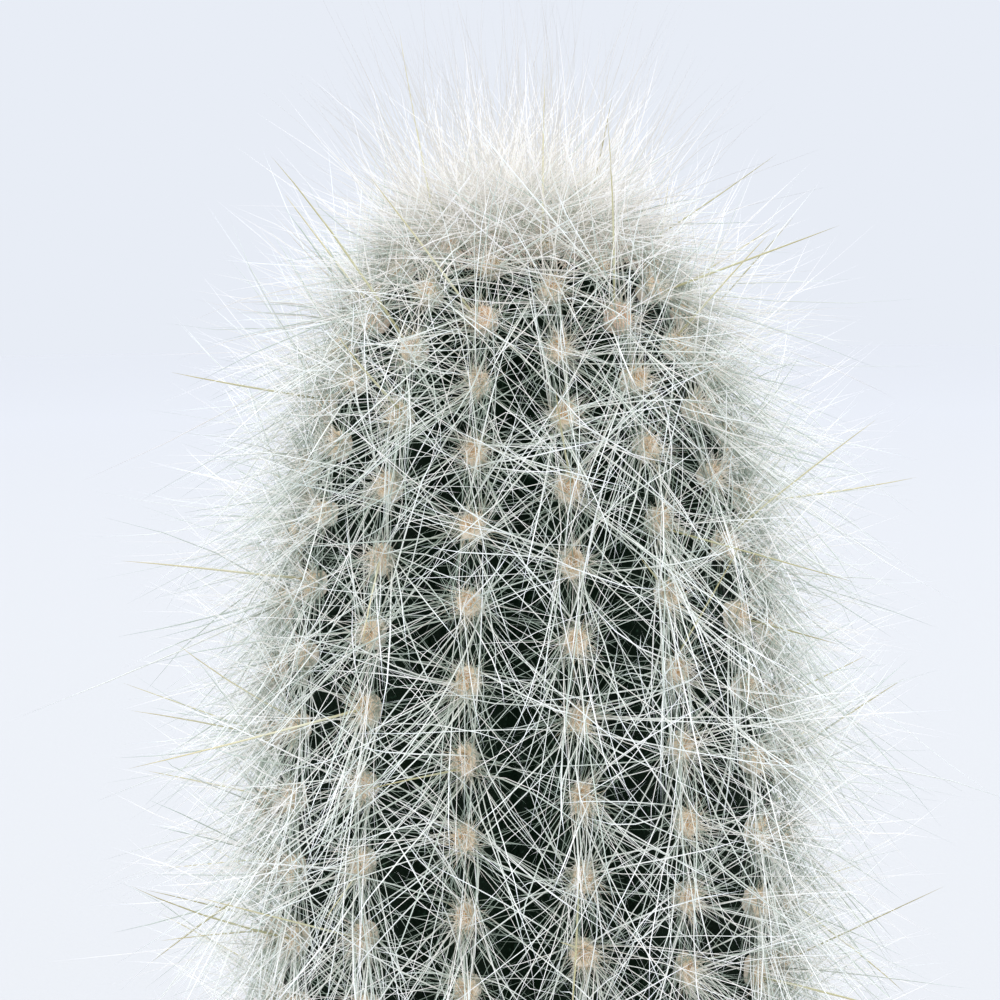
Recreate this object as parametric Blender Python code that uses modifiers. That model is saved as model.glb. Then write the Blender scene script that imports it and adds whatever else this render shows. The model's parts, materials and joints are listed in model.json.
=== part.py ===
"""A silver torch cactus in a plain terracotta pot, at its real size.

Metres, +Z up. The origin is the middle of the pot's foot, and the side seen first faces -Y.
Three pieces: the pot, the compost that fills it, and the cactus, whose buried base stands in the compost.
"""

import math
import random

import bmesh
import bpy
import numpy as np
from mathutils import Vector, noise

# Pot: a stepped clay flowerpot
POT_HEIGHT = 0.088
RIM_RADIUS = 0.050
RIM_HEIGHT = 0.021
RIM_STEP = 0.0035
RIM_WALL = 0.0060
RIM_DRAFT = 0.0006
FOOT_RADIUS = 0.034
WALL = 0.0055
FLOOR = 0.008
DRAIN_RADIUS = 0.006
EDGE_ROUNDING = 0.0011
POT_SIDES = 48

# Compost: fills the pot to a little below its rim
CLEARANCE = 0.0003
SOIL_LINE = 0.078
SOIL_MOUND = 0.0012
SOIL_RELIEF = 0.0009
SOIL_LUMPS_PER_METRE = 160.0
SOIL_RINGS = 7
GRIT_COUNT = 44
GRIT_SIZE = (0.0011, 0.0023)
GRIT_WIDTH = (0.75, 1.0)
GRIT_THICKNESS = (0.6, 0.8)
GRIT_SUNK = 0.26
GRIT_CLEAR_OF_STEM = 0.0015
GRIT_CLEAR_OF_POT = 0.0008

# Stem: measured to the crests of its ribs
RIBS = 16
COLUMNS_PER_RIB = 4
CREST_POINTS = 3000
STEM_HEIGHT = 0.110
STEM_RADIUS = 0.0206
CROWN_DEPTH = 0.046
CROWN_POWERS = (1.25, 0.31)
FURROW_DEPTH = 0.0032
FURROW_START = 0.6
FURROW_END = 0.012
WAIST = 0.0012
WAIST_START = 0.8
ROOT_LENGTH = 0.028
ROOT_RADIUS = 0.0125
ROOT_SHOULDER = 0.4
ROOT_ROWS = 4

# Felt cushions: one row down each rib, level with the gaps of the ribs beside it
CUSHION_PITCH = 0.00565
CROWN_PITCH = 0.00165
PITCH_GROWTH = 0.0116
CUSHION_HEIGHT = 0.0010
CUSHION_FULL_SIZE_FROM = 0.010
FIRST_RIB_TURN = math.radians(10.9)
FIRST_ROW = 0.42
FIRST_CUSHION_ROW = 3
BARE_ABOVE_SOIL = 0.0042

# Spines: fewer than the plant has, each at its true length
SPINES_PER_CUSHION = (1, 1, 2, 1, 1)
RADIAL_LENGTH = (0.0130, 0.0172)
RADIAL_LEAN = (44, 70)
CENTRAL_LENGTH = (0.0175, 0.0205)
CENTRAL_LEAN = (5, 30)
SPINE_ROOT_RADIUS = 0.00028
SPINE_RING = 0.0008
SPINE_SUNK = 0.0006
CROWN_SPINES = 10
CROWN_SPREAD = 0.45
CROWN_RING = 0.0024
CROWN_SUNK = 0.0012
SPINE_CLEAR_OF_SOIL = 0.0045
SEED = 12
GOLDEN_TURN = math.pi * (3.0 - math.sqrt(5.0))


def clear_scene():
    """Removes whatever the scene holds before the model is made."""
    for thing in list(bpy.data.objects):
        bpy.data.objects.remove(thing, do_unlink=True)


def material(name, colour, roughness):
    """A plain Principled material; none of these pieces is metal."""
    made = bpy.data.materials.new(name)
    made.use_nodes = True
    shader = made.node_tree.nodes["Principled BSDF"]
    shader.inputs["Base Color"].default_value = (*colour, 1.0)
    shader.inputs["Roughness"].default_value = roughness
    shader.inputs["Metallic"].default_value = 0.0
    made.diffuse_color = (*colour, 1.0)
    return made


def add_object(name, mesh, collection, *materials):
    """Puts a mesh in the scene as a named object with its materials."""
    thing = bpy.data.objects.new(name, mesh)
    for each in materials:
        mesh.materials.append(each)
    collection.objects.link(thing)
    return thing


def turned(name, outline, sides, collection, finish):
    """Turns an outline of (radius, height) points about Z; it runs down its outer side."""
    mesh = bpy.data.meshes.new(name)
    outlines = bmesh.new()
    corners = [outlines.verts.new((radius, 0.0, height)) for radius, height in outline]
    closed = outline[0][0] > 0.0
    for start, end in zip(corners, corners[1:] + corners[:1] if closed else corners[1:]):
        outlines.edges.new((start, end))
    outlines.to_mesh(mesh)
    outlines.free()
    thing = add_object(name, mesh, collection, finish)
    screw = thing.modifiers.new("Turned", "SCREW")
    screw.steps = sides
    screw.render_steps = sides
    screw.use_merge_vertices = True
    screw.merge_threshold = 0.00001
    return thing


def apply_modifiers(thing):
    """Swaps an object's mesh for the one that its modifiers make."""
    bpy.context.view_layer.update()
    depsgraph = bpy.context.evaluated_depsgraph_get()
    made = bpy.data.meshes.new_from_object(thing.evaluated_get(depsgraph))
    plain = thing.data
    made.name = plain.name
    thing.modifiers.clear()
    thing.data = made
    bpy.data.meshes.remove(plain)


def smooth(thing, angle=35):
    """Shades a round piece smooth, with its real edges kept sharp."""
    thing.data.shade_smooth()
    thing.data.set_sharp_from_angle(angle=math.radians(angle))


def fuse(thing, pieces, solver):
    """Joins every object of a collection to a piece and removes the collection."""
    union = thing.modifiers.new("Fused", "BOOLEAN")
    union.operation = "UNION"
    union.operand_type = "COLLECTION"
    union.collection = pieces
    union.solver = solver
    apply_modifiers(thing)
    for piece in list(pieces.objects):
        bpy.data.objects.remove(piece, do_unlink=True)
    bpy.data.collections.remove(pieces)


def helper_collection(name):
    """A collection for pieces that are fused into another and then removed."""
    made = bpy.data.collections.new(name)
    bpy.context.scene.collection.children.link(made)
    return made


def as_helper(thing):
    """Marks a piece that is only there to be fused."""
    thing.hide_render = True
    thing.display_type = "WIRE"


# Pot

def pot_inner_radius(height):
    """Radius of the pot's inside at a height above the foot."""
    low = FOOT_RADIUS - WALL
    high = RIM_RADIUS - RIM_WALL
    return low + (high - low) * (height - FLOOR) / (POT_HEIGHT - FLOOR)


def make_pot(collection):
    """The clay pot: drain hole, tapered wall and a band round the rim."""
    band_foot = POT_HEIGHT - RIM_HEIGHT
    outline = [
        (DRAIN_RADIUS, FLOOR),
        (pot_inner_radius(FLOOR), FLOOR),
        (pot_inner_radius(SOIL_LINE), SOIL_LINE),
        (pot_inner_radius(POT_HEIGHT), POT_HEIGHT),
        (RIM_RADIUS, POT_HEIGHT),
        (RIM_RADIUS - RIM_DRAFT, band_foot),
        (RIM_RADIUS - RIM_STEP, band_foot),
        (FOOT_RADIUS, 0.0),
        (DRAIN_RADIUS, 0.0),
    ]
    clay = material("Terracotta", (0.52, 0.22, 0.11), 0.85)
    pot = turned("pot", outline, POT_SIDES, collection, clay)
    bevel = pot.modifiers.new("Rounded edges", "BEVEL")
    bevel.width = EDGE_ROUNDING
    bevel.segments = 2
    bevel.limit_method = "ANGLE"
    bevel.angle_limit = math.radians(40)
    apply_modifiers(pot)
    smooth(pot)


# Compost

def soil_height(radius, turn):
    """Height of the compost's top: a low mound at the stem, with lumps in it."""
    edge = pot_inner_radius(SOIL_LINE)
    spot = Vector((radius * math.cos(turn), radius * math.sin(turn), 0.0)) * SOIL_LUMPS_PER_METRE
    mound = SOIL_MOUND * (1.0 - radius / edge)
    return SOIL_LINE + mound + SOIL_RELIEF * noise.noise(spot)


def stem_hole():
    """Outline of the plain hole that the buried base stands in, from the bottom up."""
    bottom = SOIL_LINE - ROOT_LENGTH - CLEARANCE
    return [
        (0.0, bottom),
        (ROOT_RADIUS + 2 * CLEARANCE, bottom),
        (STEM_RADIUS - WAIST + 2 * CLEARANCE, SOIL_LINE - ROOT_LENGTH * ROOT_SHOULDER),
        (STEM_RADIUS - WAIST + 2 * CLEARANCE, SOIL_LINE),
    ]


def make_compost(collection):
    """The compost, shaped by the pot and the stem, with grit stones in its top."""
    hole = stem_hole()
    lip = hole[-1][0]
    edge = pot_inner_radius(SOIL_LINE) - CLEARANCE
    rings = [lip + (edge - lip) * step / SOIL_RINGS for step in range(1, SOIL_RINGS)]
    base = FLOOR + CLEARANCE
    outline = hole + [(radius, SOIL_LINE) for radius in rings]
    corner = 2 * EDGE_ROUNDING
    foot = pot_inner_radius(base) - CLEARANCE
    outline += [(edge, SOIL_LINE), (foot, base + corner), (foot - corner, base), (0.0, base)]
    peat = material("Gritty potting compost", (0.060, 0.042, 0.030), 0.95)
    stone = material("Pale grit", (0.45, 0.42, 0.37), 0.80)
    compost = turned("compost", outline, POT_SIDES, collection, peat)
    compost.data.materials.append(stone)
    apply_modifiers(compost)
    for vertex in compost.data.vertices:
        radius = math.hypot(vertex.co.x, vertex.co.y)
        if abs(vertex.co.z - SOIL_LINE) < 1e-6:
            vertex.co.z = soil_height(radius, math.atan2(vertex.co.y, vertex.co.x))
    fuse(compost, grit_stones(lip, edge, peat, stone), "EXACT")
    smooth(compost, 50)


def grit_stones(lip, edge, peat, stone):
    """Grit set into the compost's top, spread evenly round the stem."""
    draw = random.Random(SEED)
    stones = helper_collection("Grit")
    mesh = bpy.data.meshes.new("grit")
    pebble = bmesh.new()
    bmesh.ops.create_icosphere(pebble, subdivisions=1, radius=1.0)
    for face in pebble.faces:
        face.material_index = 1
    pebble.to_mesh(mesh)
    pebble.free()
    mesh.materials.append(peat)
    mesh.materials.append(stone)
    for index in range(GRIT_COUNT):
        size = draw.uniform(*GRIT_SIZE)
        inner = lip + size + GRIT_CLEAR_OF_STEM
        outer = edge - size - GRIT_CLEAR_OF_POT
        share = (index + draw.random()) / GRIT_COUNT
        radius = math.sqrt(inner ** 2 + (outer ** 2 - inner ** 2) * share)
        turn = index * GOLDEN_TURN
        grit = bpy.data.objects.new("grit", mesh)
        stones.objects.link(grit)
        as_helper(grit)
        height = soil_height(radius, turn) - size * GRIT_SUNK
        grit.location = (radius * math.cos(turn), radius * math.sin(turn), height)
        grit.rotation_euler = [draw.uniform(0.0, math.pi) for _ in range(3)]
        grit.scale = (size, size * draw.uniform(*GRIT_WIDTH), size * draw.uniform(*GRIT_THICKNESS))
    return stones


# Cactus

def crest_radius(depth):
    """Radius to the rib crests at a depth below the crown's top."""
    if depth < CROWN_DEPTH:
        bulge, power = CROWN_POWERS
        return STEM_RADIUS * (1.0 - (1.0 - depth / CROWN_DEPTH) ** bulge) ** power
    if depth < STEM_HEIGHT:
        waist = (depth / STEM_HEIGHT - WAIST_START) / (1.0 - WAIST_START)
        return STEM_RADIUS - WAIST * max(0.0, waist) ** 2
    buried = (depth - STEM_HEIGHT) / ROOT_LENGTH
    taper = max(0.0, buried - ROOT_SHOULDER) / (1.0 - ROOT_SHOULDER)
    return STEM_RADIUS - WAIST - (STEM_RADIUS - WAIST - ROOT_RADIUS) * taper


def furrow_depth(depth, radius):
    """Depth of the furrows: none at the crown's top or where the stem meets the soil."""
    crown = min(1.0, radius / (FURROW_START * STEM_RADIUS))
    soil = min(1.0, max(0.0, (STEM_HEIGHT - depth) / FURROW_END))
    return FURROW_DEPTH * crown * soil


def cushion_length(number):
    """Length along a crest from the crown's top to the cushion of this number."""
    growth = math.exp(CUSHION_PITCH / PITCH_GROWTH * number)
    return PITCH_GROWTH * math.log((CROWN_PITCH * (growth - 1.0) + CUSHION_PITCH) / CUSHION_PITCH)


def row_length(row):
    """Length along a crest to a row; the ribs take turns to have their cushions on it."""
    return cushion_length(row / 2.0 - 0.5 + FIRST_ROW) if row else 0.0


def outward(rib):
    """Level direction out of the stem at a rib's crest, or between two for part of a rib."""
    turn = FIRST_RIB_TURN + rib * 2.0 * math.pi / RIBS
    return Vector((math.sin(turn), -math.cos(turn), 0.0))


class Crest:
    """A rib's crest, measured by length along it from the crown's top."""

    def __init__(self):
        share = np.linspace(0.0, 1.0, CREST_POINTS)
        self.depths = (STEM_HEIGHT + ROOT_LENGTH) * share ** 2
        self.radii = np.array([crest_radius(depth) for depth in self.depths])
        steps = np.hypot(np.diff(self.depths), np.diff(self.radii))
        self.lengths = np.concatenate([[0.0], np.cumsum(steps)])
        self.to_soil = float(np.interp(STEM_HEIGHT, self.depths, self.lengths))
        self.rows = 1
        while row_length(self.rows + 1) < self.to_soil:
            self.rows += 1

    def at(self, length):
        """Depth and radius at a length."""
        depth = float(np.interp(length, self.lengths, self.depths))
        return depth, float(np.interp(length, self.lengths, self.radii))

    def normal(self, length, reach=0.0006):
        """Outward and upward parts of the normal at a length."""
        above = self.at(max(0.0, length - reach))
        below = self.at(length + reach)
        return Vector((below[0] - above[0], below[1] - above[1])).normalized()

    def has_cushion(self, rib, row):
        """Whether a rib has a cushion on a row."""
        clear = row_length(row) < self.to_soil - BARE_ABOVE_SOIL
        return (rib + row) % 2 == 1 and row >= FIRST_CUSHION_ROW and clear

    def length_of(self, row):
        """Length to a row of the grid, those of the buried base included."""
        if row <= self.rows:
            return row_length(row)
        share = (row - self.rows) / ROOT_ROWS
        return row_length(self.rows) * (1.0 - share) + float(self.lengths[-1]) * share


def stem_surface(crest):
    """The ribbed skin: a sphere's grid moved on to the stem, cushions raised on the crests."""
    mesh = bpy.data.meshes.new("cactus")
    columns = RIBS * COLUMNS_PER_RIB
    rows = crest.rows + ROOT_ROWS
    grid = bmesh.new()
    bmesh.ops.create_uvsphere(grid, u_segments=columns, v_segments=rows, radius=1.0)
    for vertex in grid.verts:
        row = round(math.acos(max(-1.0, min(1.0, vertex.co.z))) / math.pi * rows)
        column = round(math.atan2(vertex.co.x, -vertex.co.y) / (2.0 * math.pi) * columns)
        rib = column / COLUMNS_PER_RIB
        length = crest.length_of(row)
        depth, radius = crest.at(length)
        out, up = crest.normal(length)
        radius -= furrow_depth(depth, radius) * (1.0 - abs(math.cos(math.pi * rib)))
        bump = 0.0
        if rib == round(rib) and crest.has_cushion(round(rib), row):
            bump = CUSHION_HEIGHT * min(1.0, length / CUSHION_FULL_SIZE_FROM)
        place = outward(rib) * (radius + bump * out)
        vertex.co = (place.x, place.y, SOIL_LINE + STEM_HEIGHT - depth + bump * up)
    bmesh.ops.triangulate(grid, faces=grid.faces[:])
    bmesh.ops.recalc_face_normals(grid, faces=grid.faces[:])
    grid.to_mesh(mesh)
    grid.free()
    return mesh


def spine_mesh(skin, bristle):
    """A three-sided needle, one metre long from its root at the origin up Z."""
    mesh = bpy.data.meshes.new("spine")
    needle = bmesh.new()
    bmesh.ops.create_cone(
        needle, segments=3, radius1=1.0, radius2=0.0, depth=1.0, cap_ends=True,
    )
    bmesh.ops.translate(needle, verts=needle.verts[:], vec=(0.0, 0.0, 0.5))
    for face in needle.faces:
        face.material_index = 1
    needle.to_mesh(mesh)
    needle.free()
    mesh.materials.append(skin)
    mesh.materials.append(bristle)
    return mesh


def place_spine(mesh, spines, root, direction, length):
    """Stands one spine on its root; near the soil it is turned up clear of it."""
    if root.z + direction.z * length < SOIL_LINE + SPINE_CLEAR_OF_SOIL:
        direction.z = (SOIL_LINE + SPINE_CLEAR_OF_SOIL - root.z) / length
        direction.normalize()
    spine = bpy.data.objects.new("spine", mesh)
    spines.objects.link(spine)
    as_helper(spine)
    spine.rotation_mode = "QUATERNION"
    spine.rotation_quaternion = direction.to_track_quat("Z", "Y")
    spine.location = root
    spine.scale = (SPINE_ROOT_RADIUS, SPINE_ROOT_RADIUS, length)


def cushion_spines(crest, rib, row):
    """Middle of a cushion, and the directions out of it, up the rib and across the rib."""
    length = row_length(row)
    depth, radius = crest.at(length)
    out, up = crest.normal(length)
    level = outward(rib)
    middle = level * radius + Vector((0.0, 0.0, SOIL_LINE + STEM_HEIGHT - depth))
    normal = level * out + Vector((0.0, 0.0, up))
    along = Vector((0.0, 0.0, out)) - level * up
    return middle, normal, along, normal.cross(along)


def make_spines(crest, skin, bristle):
    """Bristles all round the stem, leaning every way in turn, and stouter ones pointing out."""
    draw = random.Random(SEED)
    spines = helper_collection("Spines")
    mesh = spine_mesh(skin, bristle)
    cushions = [(rib, row) for row in range(crest.rows + 1) for rib in range(RIBS)]
    cushions = [spot for spot in cushions if crest.has_cushion(*spot)]
    heading = 0.0
    for index, (rib, row) in enumerate(cushions):
        middle, normal, along, across = cushion_spines(crest, rib, row)
        for central in range(SPINES_PER_CUSHION[index % len(SPINES_PER_CUSHION)]):
            leans, lengths = (RADIAL_LEAN, RADIAL_LENGTH)
            if central:
                leans, lengths = (CENTRAL_LEAN, CENTRAL_LENGTH)
            heading += GOLDEN_TURN
            lean = math.radians(draw.uniform(*leans))
            sideways = along * math.cos(heading) + across * math.sin(heading)
            direction = normal * math.cos(lean) + sideways * math.sin(lean)
            root = middle + sideways * SPINE_RING - normal * SPINE_SUNK
            place_spine(mesh, spines, root, direction, draw.uniform(*lengths))
    top = Vector((0.0, 0.0, SOIL_LINE + STEM_HEIGHT - CROWN_SUNK))
    for index in range(CROWN_SPINES):
        spread = CROWN_SPREAD * math.sqrt((index + 0.5) / CROWN_SPINES)
        turn = index * GOLDEN_TURN
        sideways = Vector((math.sin(turn), -math.cos(turn), 0.0)) * spread
        direction = (sideways + Vector((0.0, 0.0, 1.0))).normalized()
        root = top + sideways * CROWN_RING
        place_spine(mesh, spines, root, direction, draw.uniform(*RADIAL_LENGTH))
    return spines


def make_cactus(collection):
    """The plant: ribbed stem, felt cushions and spines in one body."""
    skin = material("Cactus skin", (0.035, 0.075, 0.045), 0.55)
    bristle = material("Silver bristle", (0.80, 0.80, 0.76), 0.45)
    crest = Crest()
    cactus = add_object("cactus", stem_surface(crest), collection, skin, bristle)
    fuse(cactus, make_spines(crest, skin, bristle), "MANIFOLD")
    smooth(cactus, 60)


def main():
    clear_scene()
    collection = bpy.data.collections.new("Potted silver torch cactus")
    bpy.context.scene.collection.children.link(collection)
    make_pot(collection)
    make_compost(collection)
    make_cactus(collection)


main()
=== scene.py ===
"""A potted silver torch cactus: its visible pieces, built over the packed model.

A column of dark green ribbed skin stands in gritty compost in a stepped clay pot. Every rib
carries a row of cream felt cushions, and every cushion a burst of silvery bristles.
"""

import functools
import json
import math

import bmesh
import bpy
import numpy as np
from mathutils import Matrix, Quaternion, Vector, noise

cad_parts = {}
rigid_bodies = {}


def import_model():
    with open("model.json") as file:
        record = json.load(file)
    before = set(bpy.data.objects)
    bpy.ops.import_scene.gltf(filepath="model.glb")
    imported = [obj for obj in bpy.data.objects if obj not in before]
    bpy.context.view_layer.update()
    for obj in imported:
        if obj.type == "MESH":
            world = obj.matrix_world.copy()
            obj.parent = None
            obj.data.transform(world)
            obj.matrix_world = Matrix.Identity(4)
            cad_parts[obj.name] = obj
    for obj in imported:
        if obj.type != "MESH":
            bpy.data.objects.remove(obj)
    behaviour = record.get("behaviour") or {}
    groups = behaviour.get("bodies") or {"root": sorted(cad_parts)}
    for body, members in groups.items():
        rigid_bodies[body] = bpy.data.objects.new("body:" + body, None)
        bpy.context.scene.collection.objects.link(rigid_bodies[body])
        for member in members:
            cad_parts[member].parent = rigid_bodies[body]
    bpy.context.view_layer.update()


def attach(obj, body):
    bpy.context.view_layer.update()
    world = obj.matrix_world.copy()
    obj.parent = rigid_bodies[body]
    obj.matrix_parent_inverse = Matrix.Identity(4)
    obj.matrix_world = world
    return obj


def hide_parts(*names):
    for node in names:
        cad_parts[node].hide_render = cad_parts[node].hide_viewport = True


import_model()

bl_info = {
    "name": "Silver torch cactus",
    "version": (1, 0, 0),
    "blender": (4, 5, 0),
    "location": "View3D > Sidebar > Cactus",
    "description": "Builds a potted silver torch cactus over its packed model",
    "category": "Add Mesh",
}

SEED = 12
BAKE_MAP = "OFBake"

# Stem, as in the packed model: metres, measured from the crown's top down along a rib

RIBS = 16
SOIL_LINE = 0.078
STEM_HEIGHT = 0.110
CROWN_TOP = SOIL_LINE + STEM_HEIGHT
STEM_RADIUS = 0.0206
CROWN_DEPTH = 0.046
CROWN_POWERS = (1.25, 0.31)
WAIST = 0.0012
WAIST_START = 0.8
ROOT_LENGTH = 0.028
ROOT_RADIUS = 0.0125
ROOT_SHOULDER = 0.4
FURROW_DEPTH = 0.0032
FURROW_START = 0.6
FURROW_END = 0.012
CUSHION_PITCH = 0.00565
CROWN_PITCH = 0.00165
PITCH_GROWTH = 0.0116
FIRST_ROW = 0.42
FIRST_CUSHION_ROW = 3
FIRST_RIB_TURN = math.radians(10.9)
BARE_ABOVE_SOIL = 0.0042
CREST_STEPS = 3000

# Pot, as in the packed model

POT_HEIGHT = 0.088
RIM_RADIUS = 0.050
RIM_HEIGHT = 0.021
RIM_STEP = 0.0035
RIM_WALL = 0.0060
RIM_DRAFT = 0.0006
FOOT_RADIUS = 0.034
POT_WALL = 0.0055
POT_FLOOR = 0.008
DRAIN_RADIUS = 0.006
CLEARANCE = 0.0003
ROUNDED_OVER = math.radians(40)
SMOOTH_BELOW = math.radians(50)


# Small helpers

def linear(hex_colour):
    """An sRGB colour written as six hex digits, in linear light."""
    channels = [int(hex_colour[i:i + 2], 16) / 255.0 for i in (0, 2, 4)]
    return tuple(c / 12.92 if c <= 0.04045 else ((c + 0.055) / 1.055) ** 2.4 for c in channels)


def deselect():
    """Nothing selected and nothing active, so that an operator acts on new work alone."""
    if bpy.context.object and bpy.context.object.mode != "OBJECT":
        bpy.ops.object.mode_set(mode="OBJECT")
    for thing in bpy.context.view_layer.objects:
        thing.select_set(False)
    bpy.context.view_layer.objects.active = None


def activate(thing):
    """Makes one object the only one that operators act on."""
    deselect()
    thing.select_set(True)
    bpy.context.view_layer.objects.active = thing


def select_points(test):
    """In edit mode, selects the vertices whose place passes the test."""
    shape = bmesh.from_edit_mesh(bpy.context.object.data)
    shape.select_mode = {"VERT"}
    for point in shape.verts:
        point.select = bool(test(point.co))
    shape.select_flush(True)
    shape.select_flush(False)
    bmesh.update_edit_mesh(bpy.context.object.data)


def finish_piece(piece, finish, stands_for=()):
    """Gives a piece its material and slot, and lets it ride on the plant's one body."""
    piece.data.materials.clear()
    piece.data.materials.append(finish)
    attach(piece, "root")
    if stands_for:
        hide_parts(*stands_for)


def turned(name, outline, steps):
    """A closed turned piece: an outline drawn from the axis and back, spun round Z."""
    deselect()
    bpy.ops.mesh.primitive_plane_add(size=0.001)
    piece = bpy.context.object
    piece.name = piece.data.name = name
    bpy.ops.object.mode_set(mode="EDIT")
    bpy.ops.mesh.select_all(action="SELECT")
    bpy.ops.mesh.merge(type="CENTER")
    radius, height = outline[0]
    bpy.ops.transform.translate(value=(radius, 0.0, height))
    for (from_radius, from_height), (to_radius, to_height) in zip(outline, outline[1:]):
        bpy.ops.mesh.extrude_region_move(TRANSFORM_OT_translate={
            "value": (to_radius - from_radius, 0.0, to_height - from_height)})
    bpy.ops.mesh.select_all(action="SELECT")
    bpy.ops.mesh.spin(steps=steps, angle=2.0 * math.pi, center=(0, 0, 0), axis=(0, 0, 1))
    bpy.ops.mesh.select_all(action="SELECT")
    bpy.ops.mesh.remove_doubles(threshold=1e-6)
    bpy.ops.mesh.select_all(action="SELECT")
    bpy.ops.mesh.normals_make_consistent(inside=False)
    bpy.ops.object.mode_set(mode="OBJECT")
    return piece


# Materials

WHITE = (1.0, 1.0, 1.0)
COLOURS = {"data_type": "RGBA"}
PRODUCT = {"data_type": "RGBA", "blend_type": "MULTIPLY"}


def add_node(tree, kind, inputs=None, stops=None, **settings):
    """Adds a shader node with its settings and gives its outputs.

    An input that is a socket is linked and any other is set; a colour is three numbers. stops
    are the places and colours on a colour ramp.
    """
    node = tree.nodes.new("ShaderNode" + kind)
    for name, value in settings.items():
        setattr(node, name, value)
    for name, value in (inputs or {}).items():
        entry = node.inputs[name]
        if isinstance(value, bpy.types.NodeSocket):
            tree.links.new(value, entry)
        else:
            entry.default_value = (*value, 1.0) if entry.type == "RGBA" else value
    if stops:
        elements = node.color_ramp.elements
        elements.remove(elements[1])
        elements[0].position, elements[0].color = stops[0][0], (*stops[0][1], 1.0)
        for place, colour in stops[1:]:
            elements.new(place).color = (*colour, 1.0)
    return node.outputs


def new_material(name):
    """An empty material, and the function that adds a node to it."""
    made = bpy.data.materials.new(name)
    made.use_nodes = True
    made.node_tree.nodes.clear()
    return made, functools.partial(add_node, made.node_tree)


def finish_surface(node, colour, roughness, bump=None, **constants):
    """The shader and its output; bump is a height and a depth in metres."""
    inputs = {"Base Color": colour, "Roughness": roughness}
    inputs.update({name.replace("_", " "): value for name, value in constants.items()})
    if bump:
        inputs["Normal"] = node("Bump", {"Height": bump[0], "Distance": bump[1]})[0]
    shader = node("BsdfPrincipled", inputs)[0]
    node("OutputMaterial", {"Surface": shader})


def object_place(node, scale=(1.0, 1.0, 1.0)):
    """Object coordinates, scaled."""
    place = node("TexCoord")["Object"]
    return node("Mapping", {"Vector": place, "Scale": scale})[0]


def bake_place(node):
    """Places on the bake map: X from root to tip or middle to edge, and Y the strip of a tone."""
    flat = node("UVMap", uv_map=BAKE_MAP)[0]
    return node("SeparateXYZ", {"Vector": flat})


def lumps(place, size, detail=3.0, roughness=0.55):
    """Inputs for a noise whose lumps are about size metres across."""
    return {"Vector": place, "Scale": 1.0 / size, "Detail": detail, "Roughness": roughness}


def greys(*shares):
    """Stops of grey for a colour ramp, from places and shares of white."""
    return [(place, (share,) * 3) for place, share in shares]


def cactus_skin(look):
    """Living cactus skin under thin wax: two dark greens, fine pale pores, a soft broad gloss.

    The greens are darker than the living skin's own green: they hold painted shade of the
    bristles.
    """
    made, node = new_material("Waxy cactus skin")
    place = object_place(node)
    patches = node("TexNoise", lumps(place, 0.004))[0]
    pores = node("TexNoise", lumps(place, 0.00035, 2.0))[0]
    body = node("Mix", {0: patches, 6: look.deep_green, 7: look.green}, **COLOURS)[2]
    flecks = node("ValToRGB", {"Fac": pores}, greys((0.60, 0.0), (0.72, 1.0)))[0]
    colour = node("Mix", {0: flecks, 6: body, 7: look.pore_green}, **COLOURS)[2]
    gloss = node("ValToRGB", {"Fac": patches}, greys((0.3, 0.55), (0.7, 0.68)))[0]
    finish_surface(node, colour, gloss, (pores, 0.00012), IOR=1.45, Specular_IOR_Level=0.12)
    return made


def felt_finish(look):
    """Cushion wool: short plant hair felted matt, tan in the pit and cream at the edge."""
    made, node = new_material("Felted plant wool")
    flat = bake_place(node)
    wool = node("ValToRGB", {"Fac": flat["X"]}, [
        (0.0, look.pit_colour), (0.3, look.pit_colour), (0.6, look.felt_colour),
        (1.0, look.fringe_colour)])[0]
    age = node("ValToRGB", {"Fac": flat["Y"]}, [
        (0.0, look.young_colour), (0.3, WHITE), (1.0, (0.86, 0.85, 0.84))])[0]
    colour = node("Mix", {0: 1.0, 6: wool, 7: age}, **PRODUCT)[2]
    fibres = node("TexNoise", lumps(object_place(node), 0.0003, 3.0, 0.7))[0]
    # The felt glows with its own colour: painted light that lifts the shade of the bristles over
    # it
    finish_surface(node, colour, 0.95, (fibres, 0.0003), IOR=1.45, Sheen_Weight=0.25,
                   Emission_Color=colour, Emission_Strength=look.glow * 0.6)
    made.cycles.emission_sampling = "NONE"
    return made


def strand_finish(name, roots, tints, roughness, glow, lit=((0.0, 0.25), (0.4, 0.5), (1.0, 1.0))):
    """Bristle or wool, with its own colours from root to tip and a tint for each strand.

    glow is painted light: an emission that stands for the daylight a thin clear strand passes on
    from behind it and lifts the strand's shade, and lit is the share of it at places along the
    strand, from the root to the tip.
    """
    made, node = new_material(name)
    flat = bake_place(node)
    tint = node("ValToRGB", {"Fac": flat["Y"]}, tints)[0]
    along = node("ValToRGB", {"Fac": flat["X"]}, roots)[0]
    # Painted glow: the emission is the strand's colour times this share along it
    painted_glow_share = node("ValToRGB", {"Fac": flat["X"]}, greys(*lit))[0]
    colour = node("Mix", {0: 1.0, 6: tint, 7: along}, **PRODUCT)[2]
    shine = node("Mix", {0: 1.0, 6: colour, 7: painted_glow_share}, **PRODUCT)[2]
    finish_surface(
        node, colour, roughness, IOR=1.53, Emission_Strength=glow, Emission_Color=shine)
    made.cycles.emission_sampling = "NONE"
    return made


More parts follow.
